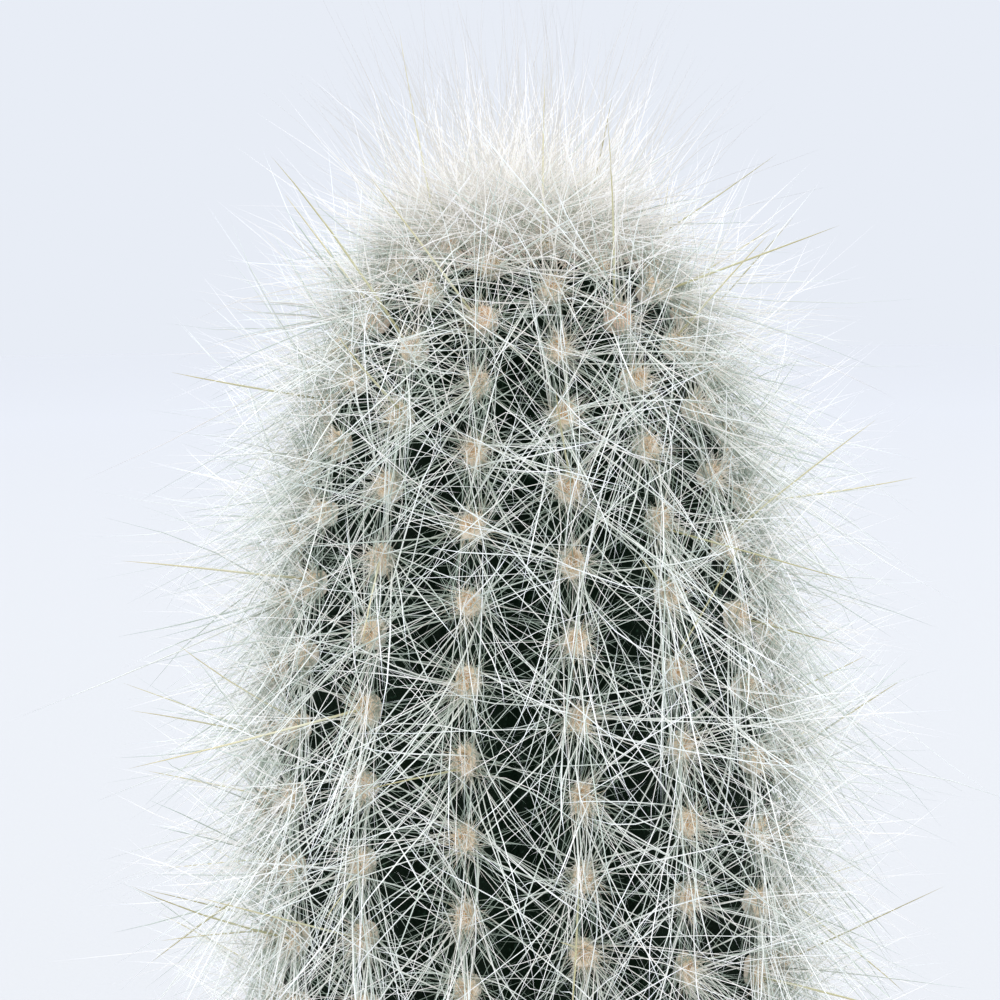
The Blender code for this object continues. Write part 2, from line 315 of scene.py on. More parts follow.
def clay_finish(look):
    """Unglazed terracotta, thrown and fired: matt, gritty, with a pale bloom of lime."""
    made, node = new_material("Unglazed terracotta")
    place = object_place(node)
    clouds = node("TexNoise", lumps(place, 0.022, 5.0, 0.6))[0]
    grit = node("TexNoise", lumps(place, 0.0006, 2.0, 0.7))[0]
    level = object_place(node, (0.06, 0.06, 1.0))
    rings = node("TexNoise", lumps(level, 0.0035, 2.0))[0]
    body = node("Mix", {0: clouds, 6: look.clay_dark, 7: look.clay_light}, **COLOURS)[2]
    speck = node("ValToRGB", {"Fac": grit}, greys((0.28, 1.0), (0.36, 0.0)))[0]
    body = node("Mix", {0: speck, 6: body, 7: look.clay_speck}, **COLOURS)[2]
    height = node("SeparateXYZ", {"Vector": place})["Z"]
    # The bloom grows from these heights to those, by the foot and at the rim, to these shares
    foot, rim = (node("MapRange", {
        "Value": height, "From Min": start, "From Max": end, "To Min": 0.0, "To Max": most})[0]
        for start, end, most in ((0.028, 0.002, 0.55), (0.072, 0.088, 0.40)))
    ends = node("Math", {0: foot, 1: rim}, operation="MAXIMUM")[0]
    drift = node("TexNoise", lumps(place, 0.009, 6.0, 0.65))[0]
    drift = node("ValToRGB", {"Fac": drift}, greys((0.42, 0.0), (0.66, 1.0)))[0]
    bloom = node("Math", {0: ends, 1: drift}, operation="MULTIPLY")[0]
    colour = node("Mix", {0: bloom, 6: body, 7: look.lime_bloom}, **COLOURS)[2]
    relief = node("Math", {0: rings, 1: grit}, operation="ADD")[0]
    finish_surface(node, colour, 0.88, (relief, 0.00018), IOR=1.5)
    return made


def peat_finish(look):
    """Moist peat compost: crumbly, near black in its gaps and brown on its crumbs."""
    made, node = new_material("Crumbly peat compost")
    place = object_place(node)
    crumbs = node("TexNoise", lumps(place, 0.0016, 5.0, 0.7))[0]
    patches = node("TexNoise", lumps(place, 0.008, 2.0))[0]
    peat = node("ValToRGB", {"Fac": crumbs}, [
        (0.32, look.peat_dark), (0.52, look.peat_brown), (0.74, look.peat_pale)])[0]
    shade = node("ValToRGB", {"Fac": patches}, [
        (0.3, (0.75, 0.72, 0.70)), (0.7, WHITE)])[0]
    colour = node("Mix", {0: 1.0, 6: peat, 7: shade}, **PRODUCT)[2]
    finish_surface(node, colour, 0.94, (crumbs, 0.0008), IOR=1.4)
    return made


def stone_finish(look):
    """Washed mineral grit: matt broken stone, pale buff to grey, each stone its own tone."""
    made, node = new_material("Washed mineral grit")
    tone = node("ValToRGB", {"Fac": bake_place(node)["Y"]}, [
        (0.0, look.grit_dark), (0.5, look.grit_buff), (1.0, look.grit_pale)])[0]
    grains = node("TexNoise", lumps(object_place(node), 0.0004, 3.0, 0.7))[0]
    shade = node("ValToRGB", {"Fac": grains}, [
        (0.3, (0.72, 0.70, 0.68)), (0.7, WHITE)])[0]
    colour = node("Mix", {0: 1.0, 6: tone, 7: shade}, **PRODUCT)[2]
    finish_surface(node, colour, 0.82, (grains, 0.0002), IOR=1.54)
    return made


# Stem shape

def crest_radius(depth):
    """Radius of the rib crests at depths below the crown's top."""
    depth = np.asarray(depth, float)
    dome = np.clip(1.0 - depth / CROWN_DEPTH, 0.0, 1.0) ** CROWN_POWERS[0]
    crown = STEM_RADIUS * (1.0 - dome) ** CROWN_POWERS[1]
    waist = np.clip((depth / STEM_HEIGHT - WAIST_START) / (1.0 - WAIST_START), 0.0, 1.0)
    column = STEM_RADIUS - WAIST * waist ** 2
    buried = (depth - STEM_HEIGHT) / ROOT_LENGTH
    taper = np.clip((buried - ROOT_SHOULDER) / (1.0 - ROOT_SHOULDER), 0.0, 1.0)
    base = STEM_RADIUS - WAIST
    root = base - (base - ROOT_RADIUS) * taper
    return np.where(depth < CROWN_DEPTH, crown, np.where(depth < STEM_HEIGHT, column, root))


CREST_DEPTHS = (STEM_HEIGHT + ROOT_LENGTH) * np.linspace(0.0, 1.0, CREST_STEPS) ** 2
CREST_RADII = crest_radius(CREST_DEPTHS)
CREST_LENGTHS = np.concatenate([[0.0], np.cumsum(
    np.hypot(np.diff(CREST_DEPTHS), np.diff(CREST_RADII)))])
TO_SOIL = float(np.interp(STEM_HEIGHT, CREST_DEPTHS, CREST_LENGTHS))


def crest_at(length):
    """Depth and radius of a crest at lengths along it."""
    return (np.interp(length, CREST_LENGTHS, CREST_DEPTHS),
            np.interp(length, CREST_LENGTHS, CREST_RADII))


def crest_normal(length, reach=0.0006):
    """Outward and upward parts of the normal at lengths along a crest."""
    above = crest_at(np.maximum(0.0, length - reach))
    below = crest_at(length + reach)
    out, up = below[0] - above[0], below[1] - above[1]
    size = np.hypot(out, up)
    return out / size, up / size


def furrow_depth(depth, radius):
    """How far a furrow lies inside the crests."""
    crown = np.minimum(1.0, radius / (FURROW_START * STEM_RADIUS))
    foot = np.clip((STEM_HEIGHT - depth) / FURROW_END, 0.0, 1.0)
    return FURROW_DEPTH * crown * foot


def row_length(row):
    """Length from the crown's top to a row of cushions."""
    if row == 0:
        return 0.0
    number = row / 2 - 0.5 + FIRST_ROW
    growth = math.exp(CUSHION_PITCH / PITCH_GROWTH * number)
    return PITCH_GROWTH * math.log((CROWN_PITCH * (growth - 1) + CUSHION_PITCH) / CUSHION_PITCH)


def cushion_places():
    """(rib, length) of every cushion: neighbouring ribs' cushions stand half a pitch apart."""
    places = []
    row = FIRST_CUSHION_ROW
    while row_length(row) < TO_SOIL - BARE_ABOVE_SOIL:
        places += [(rib, row_length(row)) for rib in range(RIBS) if (rib + row) % 2 == 1]
        row += 1
    return np.array(places, float)


def on_stem(rib, length, lift=0.0):
    """Places on the crests, with the directions out of the skin, up the rib and across it."""
    depth, radius = crest_at(length)
    out, up = crest_normal(length)
    turn = FIRST_RIB_TURN + rib * (2.0 * math.pi / RIBS)
    spoke = np.stack([np.sin(turn), -np.cos(turn), np.zeros_like(turn)], -1)
    rise = np.array([0.0, 0.0, 1.0])
    normal = spoke * out[:, None] + rise * up[:, None]
    upward = -spoke * up[:, None] + rise * out[:, None]
    place = spoke * radius[:, None] + rise * (CROWN_TOP - depth)[:, None]
    return place + normal * lift, normal, upward, np.cross(upward, normal)


# Strands

TINT_STRIPS = 64
TONE_STRIPS = 16
MAP_EDGE = 0.01
GOLDEN_SHARE = 0.618034


def taken(model):
    """The points and faces of a model, which is then thrown away."""
    points = np.array([v.co[:] for v in model.data.vertices])
    faces = np.array([f.vertices[:] for f in model.data.polygons])
    bpy.data.objects.remove(model)
    return points, faces


def model_strand(sides, rings=()):
    """A needle one metre long up Z: a cone cut into rings that are swelled to a bristle's taper.

    Gives its points, its triangles, and each corner's place along and round it.
    """
    deselect()
    bpy.ops.mesh.primitive_cone_add(
        vertices=sides, radius1=1.0, radius2=0.0, depth=1.0, location=(0.0, 0.0, 0.5))
    bpy.ops.object.transform_apply(location=True)
    bpy.ops.object.mode_set(mode="EDIT")
    for height, _ in rings:
        bpy.ops.mesh.select_all(action="SELECT")
        bpy.ops.mesh.bisect(plane_co=(0.0, 0.0, height), plane_no=(0.0, 0.0, 1.0))
    for height, width in rings:
        select_points(lambda co, height=height: abs(co.z - height) < 1e-4)
        swell = width / (1.0 - height)
        bpy.ops.transform.resize(value=(swell, swell, 1.0), center_override=(0.0, 0.0, height))
    bpy.ops.mesh.select_all(action="SELECT")
    bpy.ops.mesh.quads_convert_to_tris()
    bpy.ops.object.mode_set(mode="OBJECT")
    points, faces = taken(bpy.context.object)
    angle = np.arctan2(points[:, 1], points[:, 0]) % (2.0 * math.pi)
    step = 2.0 * math.pi / sides
    start = angle[points[:, 2] < 1e-6].min()
    corners = []
    for face in faces:
        if points[face, 2].max() < 1e-6:
            corners += [(0.0, 0.1), (0.03, 0.5), (0.0, 0.9)]
            continue
        spread = points[face, :2].sum(0)
        middle = (math.atan2(spread[1], spread[0]) - start) % (2.0 * math.pi)
        side = int(middle / step)
        for index in face:
            if math.hypot(*points[index, :2]) < 1e-6:
                across = 0.5
            else:
                turn = (angle[index] - start - side * step + 0.01) % (2.0 * math.pi)
                across = round(turn / step)
            corners.append((points[index, 2], (side + across) / sides))
    corners = np.array(corners)
    corners[:, 0] = MAP_EDGE + (1.0 - 2.0 * MAP_EDGE) * corners[:, 0]
    return points, faces, corners


def tone_strips(corners, tones, strips):
    """Places on the bake map for copies of a model: each copy lies in the strip of its tone."""
    strip = np.floor(np.clip(tones, 0.0, 0.9999) * strips)
    shares = np.empty((len(tones), len(corners), 2))
    shares[:, :, 0] = corners[None, :, 0]
    shares[:, :, 1] = (strip[:, None] + 0.1 + 0.8 * corners[None, :, 1]) / strips
    return shares


def build_copies(name, points, faces, shares):
    """One object of many copies of a model: each copy's points, and the model's triangles."""
    count, size = points.shape[:2]
    joined = faces[None] + (np.arange(count) * size)[:, None, None]
    mesh = bpy.data.meshes.new(name)
    mesh.from_pydata(points.reshape(-1, 3).tolist(), [], joined.reshape(-1, 3).tolist())
    layer = mesh.uv_layers.new(name=BAKE_MAP)
    layer.uv.foreach_set("vector", np.ascontiguousarray(shares, np.float32).ravel())
    mesh.shade_smooth()
    mesh.update()
    piece = bpy.data.objects.new(name, mesh)
    bpy.context.scene.collection.objects.link(piece)
    return piece


def lay_strands(name, strand, roots, courses, bends, lengths, widths, tints):
    """Copies one strand along many bent paths, joined in one mesh.

    courses are unit directions at the roots. bends say how far each path has turned off its
    course by its tip, in shares of its length: an even arc, and a late sway. tints are 0 to 1.
    """
    points, faces, corners = strand
    along = points[:, 2][None, :, None]
    arc, sway = bends[0][:, None], bends[1][:, None]
    path = roots[:, None] + lengths[:, None, None] * (
        courses[:, None] * along + arc * along ** 2 + sway * along ** 3)
    tangent = courses[:, None] + 2.0 * arc * along + 3.0 * sway * along ** 2
    tangent /= np.linalg.norm(tangent, axis=2, keepdims=True)
    guide = np.where(np.abs(courses[:, 2:3]) < 0.8, [[0.0, 0.0, 1.0]], [[1.0, 0.0, 0.0]])
    side = np.cross(courses, guide)[:, None]
    side = side - (side * tangent).sum(2, keepdims=True) * tangent
    side /= np.linalg.norm(side, axis=2, keepdims=True)
    other = np.cross(tangent, side)
    half = 0.5 * widths[:, None, None]
    x, y = points[:, 0][None, :, None], points[:, 1][None, :, None]
    places = path + half * (side * x + other * y)
    return build_copies(name, places, faces, tone_strips(corners, tints, TINT_STRIPS))


def burst(draw, spot, count, lean, turn, length, width, spread=(0.0, 0.0)):
    """Random strands out of every cushion: roots, courses, lengths and widths.

    lean gives the angles off the normal and turn those from straight up the rib; both are in
    degrees. spread is how far the roots lie off the cushion's middle, across and up the rib.
    """
    place, normal, upward, across = (np.repeat(part, count, axis=0) for part in spot)
    total = len(place)
    lean = lean if callable(lean) else (lambda n, pair=lean: draw.uniform(*pair, n))
    tilt, turn = np.radians(lean(total))[:, None], np.radians(turn(total))[:, None]
    flat = upward * np.cos(turn) + across * np.sin(turn)
    course = normal * np.cos(tilt) + flat * np.sin(tilt)
    angle, reach = draw.uniform(0.0, 2.0 * math.pi, total), np.sqrt(draw.uniform(0.3, 1.0, total))
    place = (place + across * (spread[0] * reach * np.cos(angle))[:, None]
             + upward * (spread[1] * reach * np.sin(angle))[:, None])
    thin, stout = width
    width = thin + (stout - thin) * draw.random(total) ** 1.6
    return [place, course, draw.uniform(*length, total), width]


def all_round(draw):
    """Turns drawn evenly from the whole circle."""
    return lambda total: draw.uniform(0.0, 360.0, total)


def bent(draw, course, arc, sway, pull=0.0, shared=1):
    """Random bends for strands: the sway mostly turns back what the arc began.

    pull draws them down, and each shared neighbours bend nearly alike.
    """
    alike = np.repeat(draw.standard_normal((len(course) // shared, 3)), shared, axis=0)
    first = arc * (0.75 * alike + 0.66 * draw.standard_normal(course.shape))
    first[:, 2] -= pull
    return np.stack([first, -0.5 * first + sway * draw.standard_normal(course.shape)])


def crown_places(count, reach, sunk):
    """Places spread evenly over the growing point, as on_stem gives them."""
    index = np.arange(count)
    return on_stem(
        (index * GOLDEN_SHARE % 1.0) * RIBS, reach * np.sqrt((index + 0.5) / count), -sunk)


# Settings

def a_count(name, description, default, least=1):
    """A whole number that someone can set."""
    return bpy.props.IntProperty(name=name, description=description, default=default, min=least)


def a_share(name, description, default):
    """A share from 0 to 1."""
    return bpy.props.FloatProperty(
        name=name, description=description, default=default, min=0.0, max=1.0, subtype="FACTOR")


def a_length(name, description, default):
    """A length in metres."""
    return bpy.props.FloatProperty(
        name=name, description=description, default=default, unit="LENGTH")


def two_lengths(name, description, default):
    """Two lengths in metres, such as the least and the most."""
    return bpy.props.FloatVectorProperty(
        name=name, description=description, default=default, size=2, unit="LENGTH")


def a_colour(name, description, hex_colour):
    """A colour, written as six hex digits."""
    return bpy.props.FloatVectorProperty(
        name=name, description=description, default=linear(hex_colour), size=3, subtype="COLOR")


class StemSettings(bpy.types.PropertyGroup):
    """The ribbed skin."""
    columns: a_count("Columns a rib", "Faces across one rib", 12, 4)
    rows: a_count("Rows", "Faces down the visible stem", 132, 20)
    swelling: a_length("Swelling", "How far the skin swells under a cushion", 0.0005)
    # Both greens are darker than the living skin's own dark green: they hold painted shade of the
    # bristles over it
    green: a_colour("Green", "Paler patches of the skin", "0B1D11")
    deep_green: a_colour("Deep green", "Darker patches of the skin", "051207")
    pore_green: a_colour("Pore green", "Fine pale pores in the skin", "22382A")


class FeltSettings(bpy.types.PropertyGroup):
    """The felt cushions and their fringe of wool."""
    width: a_length("Width", "Cushion width across the rib", 0.0018)
    height: a_length("Height", "Cushion height up the rib", 0.0022)
    rise: a_length("Rise", "How far a cushion stands off the skin", 0.0014)
    hairs: a_count("Wool hairs", "Short hairs on one cushion", 96)
    wool_split: a_length("Wool split", "Height at which the wool is parted into two meshes", 0.136)
    crown_hairs: a_count("Crown wool", "Short hairs over the growing point", 4400)
    wool_length: two_lengths("Wool length", "Shortest and longest wool hair", (0.0011, 0.0026))
    wool_thickness: two_lengths(
        "Wool thickness", "Finest and stoutest wool hair", (0.00005, 0.00009))
    # glow and crown glow are painted light: emissions on the felt and the wool that stand for
    # light scattered through them and lift their shade
    glow: a_share("Glow", "Light scattered on through the wool", 0.34)
    crown_glow: a_share("Crown glow", "The same for the deep wool on the crown", 1.0)
    pit_colour: a_colour("Pit", "Tan wool in the pit", "CFA878")
    felt_colour: a_colour("Felt", "Cream wool round the pit", "EAD7B8")
    fringe_colour: a_colour("Fringe", "Whitish wool at the edge", "F6F0E4")
    young_colour: a_colour("Young", "Rosy cast of the young cushions by the crown", "F4C9B8")


class BristleSettings(bpy.types.PropertyGroup):
    """The silvery bristles."""
    rays: a_count("Rays", "Short bristles that lie round one cushion", 50)
    bundles: a_count("Bundles", "Bundles of long bristles on one cushion", 10)
    bundle_size: a_count("Bundle size", "Long bristles in one bundle", 3)
    standing: a_count("Standing", "Bristles on one cushion that stand off the stem", 12)
    crown: a_count("Crown", "Bristles in the tuft on the crown", 680)
    downward: a_share("Downward", "Share of the bundles that run down the stem", 0.45)
    drape: bpy.props.FloatProperty(
        name="Drape", description="How far those bundles run to one side, in degrees",
        default=36.0)
    spread: two_lengths(
        "Spread", "How far roots lie off a cushion's middle, across and up", (0.0011, 0.0013))
    # The glows are painted light: emissions on the bristles that stand for light scattered through
    # the clear strands and lift their shade
    glow: a_share("Glow", "Light scattered on through the clear bristles", 0.42)
    edge_glow: a_share("Edge glow", "The same for the standing bristles", 0.86)
    crown_glow: a_share("Crown glow", "The same for the dense tuft on the crown", 0.95)
    young: a_colour("Young", "Cream cast of the youngest bristles", "DAD6D0")
    young_reach: a_length(
        "Young reach", "How far down from the crown the young bristles go", 0.022)
    # The rays' grey-green holds painted shade, for lying deep among the bristles, and painted
    # green light from the skin, over their own pale colour
    ray_colour: a_colour(
        "Ray colour", "Fine bristles, clear enough to take the skin's green", "BFCBC0")
    ray_length: two_lengths("Ray length", "Shortest and longest ray", (0.0032, 0.0086))
    long_length: two_lengths("Long length", "Shortest and longest long bristle", (0.0085, 0.0160))
    thickness: two_lengths("Thickness", "Finest and stoutest bristle", (0.00006, 0.00015))
    silver: a_colour("Silver", "The common bristle", "F6FBF9")
    ivory: a_colour("Ivory", "The warmest bristles", "EFF2ED")
    dull: a_colour("Dull", "The clearest bristles, which look grey", "BBC6BC")


class SpineSettings(bpy.types.PropertyGroup):
    """The stouter straw-coloured spines."""
    share: a_share("Share", "Straw spines for each cushion, on average", 0.38)
    length: two_lengths("Length", "Shortest and longest spine", (0.0100, 0.0175))
    grown_reach: a_length(
        "Grown reach", "How far down from the crown the cushions are grown", 0.024)
    thickness: a_length("Thickness", "Width at the root", 0.00019)
    straw: a_colour("Straw", "The common straw colour", "D3D1AE")
    olive: a_colour("Olive", "The darkest spines", "B3B08A")


class CompostSettings(bpy.types.PropertyGroup):
    """The compost and its grit."""
    crumbs: a_count("Crumbs", "Loose crumbs on the top", 1300, 0)
    stones: a_count("Stones", "Grit stones in the top", 150, 0)
    peat_dark: a_colour("Peat, dark", "Moist gaps", "1A130E")
    peat_brown: a_colour("Peat, brown", "Common crumb", "3A2B20")
    peat_pale: a_colour("Peat, pale", "Dry crumb", "5F4A37")
    grit_dark: a_colour("Grit, grey", "Grey stones", "7C776D")
    grit_buff: a_colour("Grit, buff", "Buff stones", "B7AB93")
    grit_pale: a_colour("Grit, pale", "Expanded white stones", "E6E1D5")


class PotSettings(bpy.types.PropertyGroup):
    """The clay pot."""
    sides: a_count("Sides", "Steps round the pot", 144, 24)
    rounding: a_length("Rounding", "Radius of the rounded edges", 0.0012)
    clay_dark: a_colour("Clay, dark", "Deeper clay", "A35C43")
    clay_light: a_colour("Clay, light", "Paler clay", "C77E5C")
    clay_speck: a_colour("Clay speck", "Grog in the clay", "7E4631")
    lime_bloom: a_colour("Lime bloom", "Lime drawn out by watering", "DCC6B0")


class StageSettings(bpy.types.PropertyGroup):
    """Floor, lights and camera."""
    paper: a_colour("Paper", "Seamless paper", "C3C5C8")
    far_paper: a_colour("Far paper", "The same paper where it meets the daylight", "CBCED4")
    horizon: a_colour("Horizon", "Daylight from the sides", "E8EDF6")
    overhead: bpy.props.FloatProperty(
        name="Overhead", description="How much stronger the daylight is from above",
        default=1.75)
    focal_length: bpy.props.FloatProperty(
        name="Focal length", description="Camera lens in millimetres", default=54.14)


SETTINGS = {
    "torch_stem": StemSettings, "torch_felt": FeltSettings, "torch_bristles": BristleSettings,
    "torch_spines": SpineSettings, "torch_compost": CompostSettings, "torch_pot": PotSettings,
    "torch_stage": StageSettings,
}


# Pieces

BURIED_ROWS = 8
ROW_CROWDING = 1.15
FURROW_FLOOR = 0.01

# The skin's swelling under a cushion: how far the cushion acts along its rib, the length from
# the crown at which it is grown, and how wide the swelling is in ribs and how long in metres
SWELL_REACH = 0.006
SWELL_GROWN = 0.010
SWELL_RIBS = 0.26
SWELL_LENGTH = 0.0016


class TORCH_OT_stem(bpy.types.Operator):
    """Build the ribbed green stem"""
    bl_idname = "torch.stem"
    bl_label = "Ribbed stem"

    def execute(self, context):
        look = context.scene.torch_stem
        rows, columns = look.rows + BURIED_ROWS, RIBS * look.columns
        deselect()
        bpy.ops.mesh.primitive_uv_sphere_add(segments=columns, ring_count=rows, radius=1.0)
        stem = context.object
        stem.name = stem.data.name = "stem"
        mesh = stem.data
        co = np.array([v.co[:] for v in mesh.vertices])
        row = np.round(np.arccos(np.clip(co[:, 2], -1.0, 1.0)) / math.pi * rows)
        column = np.round(np.arctan2(co[:, 0], -co[:, 1]) / (2.0 * math.pi) * columns)
        rib = column / look.columns
        length = np.where(
            row <= look.rows, TO_SOIL * (row / look.rows) ** ROW_CROWDING,
            TO_SOIL + (CREST_LENGTHS[-1] - TO_SOIL) * (row - look.rows) / BURIED_ROWS)
        depth, radius = crest_at(length)
        out, up = crest_normal(length)
        crest = np.sqrt(np.cos(math.pi * rib) ** 2 + FURROW_FLOOR)
        radius = np.maximum(0.0, radius - furrow_depth(depth, radius) * (1.0 - crest))
        lift = self.swelling(rib, length, look.swelling)
        turn = FIRST_RIB_TURN + rib * (2.0 * math.pi / RIBS)
        reach = radius + lift * out
        place = np.stack([
            np.sin(turn) * reach, -np.cos(turn) * reach, CROWN_TOP - depth + lift * up], -1)
        mesh.vertices.foreach_set("co", place.ravel())
        mesh.update()
        bpy.ops.object.mode_set(mode="EDIT")
        bpy.ops.mesh.select_all(action="SELECT")
        bpy.ops.mesh.normals_make_consistent(inside=False)
        bpy.ops.object.mode_set(mode="OBJECT")
        bpy.ops.object.shade_smooth()
        finish_piece(stem, cactus_skin(look), ["cactus"])
        return {"FINISHED"}

    def swelling(self, rib, length, size):
        """The skin swells under each cushion and dips between two of them."""
        lift = np.zeros_like(length)
        for at_rib, at_length in cushion_places():
            aside = (rib - at_rib + RIBS / 2) % RIBS - RIBS / 2
            near = (np.abs(aside) < 0.5) & (np.abs(length - at_length) < SWELL_REACH)
            bell = np.exp(-(aside[near] / SWELL_RIBS) ** 2
                          - ((length[near] - at_length) / SWELL_LENGTH) ** 2)
            lift[near] += size * min(1.0, at_length / SWELL_GROWN) * bell
        return lift


# Cushions grow with their length from the crown, and each varies a little on its own
FELT_GROWN = 0.014
FELT_SMALLEST = 0.35
FELT_YOUNG = 0.045
SIZE_VARIETY = (0.88, 1.12)
RISE_VARIETY = (0.85, 1.15)
PAD_JITTER = 0.06

# The model pad, in its own units
PAD_FOOT = -0.4
PIT_EDGE = 0.9
PIT_DEPTH = 0.42
PIT_SHIFT = 0.15

WOOL_LEAN = (28, 90)
WOOL_SPREAD = 0.42
CROWN_WOOL_LEAN = (0, 66)
CROWN_WOOL_LENGTH = (0.0020, 0.0054)
CROWN_WOOL_REACH = 0.0108
CROWN_WOOL_SUNK = 0.0003
# Share of the painted glow along the crown's wool and tuft, root to tip: strongest at the root,
# where it fills the shade at their base
CROWN_PAINTED_GLOW = ((0.0, 1.0), (0.4, 0.42), (1.0, 0.12))


class TORCH_OT_felt(bpy.types.Operator):
    """Build the felt cushions and the wool on them"""
    bl_idname = "torch.felt"
    bl_label = "Felt cushions"

    def execute(self, context):
        look = context.scene.torch_felt
        places = cushion_places()
        spot = on_stem(places[:, 0], places[:, 1], context.scene.torch_stem.swelling)
        grown = np.clip(places[:, 1] / FELT_GROWN, FELT_SMALLEST, 1.0)
        points, faces, corners = self.model_pad()
        draw = np.random.default_rng(SEED)
        count = len(places)
        wide = look.width * grown * draw.uniform(*SIZE_VARIETY, count) / 2
        tall = look.height * grown * draw.uniform(*SIZE_VARIETY, count) / 2
        rise = look.rise * grown * draw.uniform(*RISE_VARIETY, count)
        place, normal, upward, across = (part[:, None] for part in spot)
        jitter = 1.0 + PAD_JITTER * draw.standard_normal((count, len(points), 1))
        flat = (across * points[:, 0][None, :, None] * wide[:, None, None]
                + upward * points[:, 1][None, :, None] * tall[:, None, None]) * jitter
        high = normal * points[:, 2][None, :, None] * rise[:, None, None]
        age = np.clip(places[:, 1] / FELT_YOUNG, 0.0, 1.0) * 0.5 + 0.45 * draw.random(count)
        felt = build_copies(
            "felt_cushions", place + flat + high, faces, tone_strips(corners, age, TONE_STRIPS))
        finish_piece(felt, felt_finish(look))
        self.lay_wool(look, spot, grown, draw)
        self.lay_crown_wool(look, draw)
        return {"FINISHED"}

    def model_pad(self):
        """A domed pad one unit to each side, with a pit a little above its middle."""
        deselect()
        bpy.ops.mesh.primitive_uv_sphere_add(segments=10, ring_count=8, radius=1.0)
        bpy.ops.object.mode_set(mode="EDIT")
        select_points(lambda co: co.z < PAD_FOOT)
        bpy.ops.transform.resize(value=(1.0, 1.0, 0.0), center_override=(0.0, 0.0, PAD_FOOT))
        select_points(lambda co: co.z > PIT_EDGE)
        bpy.ops.transform.translate(value=(0.0, PIT_SHIFT, -PIT_DEPTH))
        bpy.ops.mesh.select_all(action="SELECT")
        bpy.ops.mesh.quads_convert_to_tris()
        bpy.ops.object.mode_set(mode="OBJECT")
        points, faces = taken(bpy.context.object)
        corners = []
        for face in faces:
            for step, index in enumerate(face):
                away = math.hypot(points[index, 0], points[index, 1] - PIT_SHIFT)
                corners.append((min(0.98, 0.02 + away * 0.85), 0.5 * step))
        return points, faces, np.array(corners)

    def lay_wool(self, look, spot, grown, draw):
        """Short wool that stands out of the cushions all round, like a small sun."""
        place, course, length, width = burst(
            draw, spot, look.hairs, WOOL_LEAN, all_round(draw), look.wool_length,
            look.wool_thickness, (look.width * WOOL_SPREAD, look.height * WOOL_SPREAD))
        size = np.repeat(grown, look.hairs)
        place += np.repeat(spot[1], look.hairs, 0) * (look.rise * 0.5 * size)[:, None]
        tints = draw.random(len(place))
        # The loose wool carries the painted glow too
        finish = strand_finish(
            "Loose plant wool", [(0.0, linear("F0DFC6")), (0.5, WHITE)],
            [(0.0, look.felt_colour), (0.3, look.fringe_colour), (1.0, linear("FBFAF6"))],
            0.7, look.glow)
        parts = place, course, bent(draw, course, 0.0, 0.0), length * size, width, tints
        high = place[:, 2] > look.wool_split
        for name, band in (("wool_upper", high), ("wool_lower", ~high)):
            chosen = [part[..., band, :] if part.ndim > 1 else part[band] for part in parts]
            finish_piece(lay_strands(name, model_strand(3), *chosen), finish)

    def lay_crown_wool(self, look, draw):
        """Deep pale wool over the growing point."""
        spot = crown_places(look.crown_hairs, CROWN_WOOL_REACH, CROWN_WOOL_SUNK)
        place, course, length, width = burst(
            draw, spot, 1, CROWN_WOOL_LEAN, all_round(draw), CROWN_WOOL_LENGTH,
            look.wool_thickness)
        wool = lay_strands(
            "crown_wool", model_strand(3), place, course, bent(draw, course, 0.0, 0.0), length,
            width, draw.random(len(place)))
        # The crown's wool has darker colours under a strong painted glow, which fills its shade
        finish_piece(wool, strand_finish(
            "Young plant wool", [(0.0, linear("E6DDD2")), (0.6, WHITE)],
            [(0.0, linear("C2BBB3")), (1.0, linear("CFCAC4"))], 0.7, look.crown_glow,
            CROWN_PAINTED_GLOW))


# Bristles: rings are (height, width) shares, leans are degrees off the normal, widths are
# shares of the finest bristle's, and bends are an arc and a sway in shares of the length
ROOT_LIFT = 0.0008
SOIL_GAP = 0.0035
ROOT_SHADES = [(0.0, linear("CDCBBA")), (0.15, linear("F4F3EE")), (0.6, linear("FAFAFA")),
               (1.0, linear("F4F7FF"))]
YOUNG_TINTS = 0.88
GROWN_TINTS = 0.85

RAY_RINGS = ((0.5, 0.85),)
RAY_LEAN = (54, 86)
RAY_JITTER = 14.0
RAY_WIDTH = (0.9, 1.3)
RAY_BEND = (0.13, 0.06)
# The rays take this share of the bristles' painted glow
RAY_GLOW = 0.35

LONG_RINGS = ((0.25, 0.98), (0.5, 0.88), (0.75, 0.68))
LONG_LEAN = (40.0, 82.0)
LONG_BEND = (0.20, 0.07)
LONG_PULL = 0.07
DRAPE_JITTER = 20.0
LEVEL_SHARE = 0.8
LEVEL_JITTER = 26.0
LEVEL_LEAN = 84.0
BUNDLE_JITTER = (6.0, 10.0)
LONGEST_SHARE = 0.2
LONGEST_STRETCH = 1.28

EDGE_RINGS = ((0.35, 0.95), (0.7, 0.72))
STANDING_LEAN = (18, 60)
STANDING_LENGTH = (0.0075, 0.0160)
STANDING_WIDTH = (0.75, 1.35)
STANDING_BEND = (0.11, 0.07)

TUFT_LEAN = 27.0
TUFT_LENGTH = (0.0100, 0.0205)
TUFT_WIDTH = (0.7, 1.2)
TUFT_BEND = (0.12, 0.07)
TUFT_REACH = 0.0085
TUFT_SUNK = 0.0004


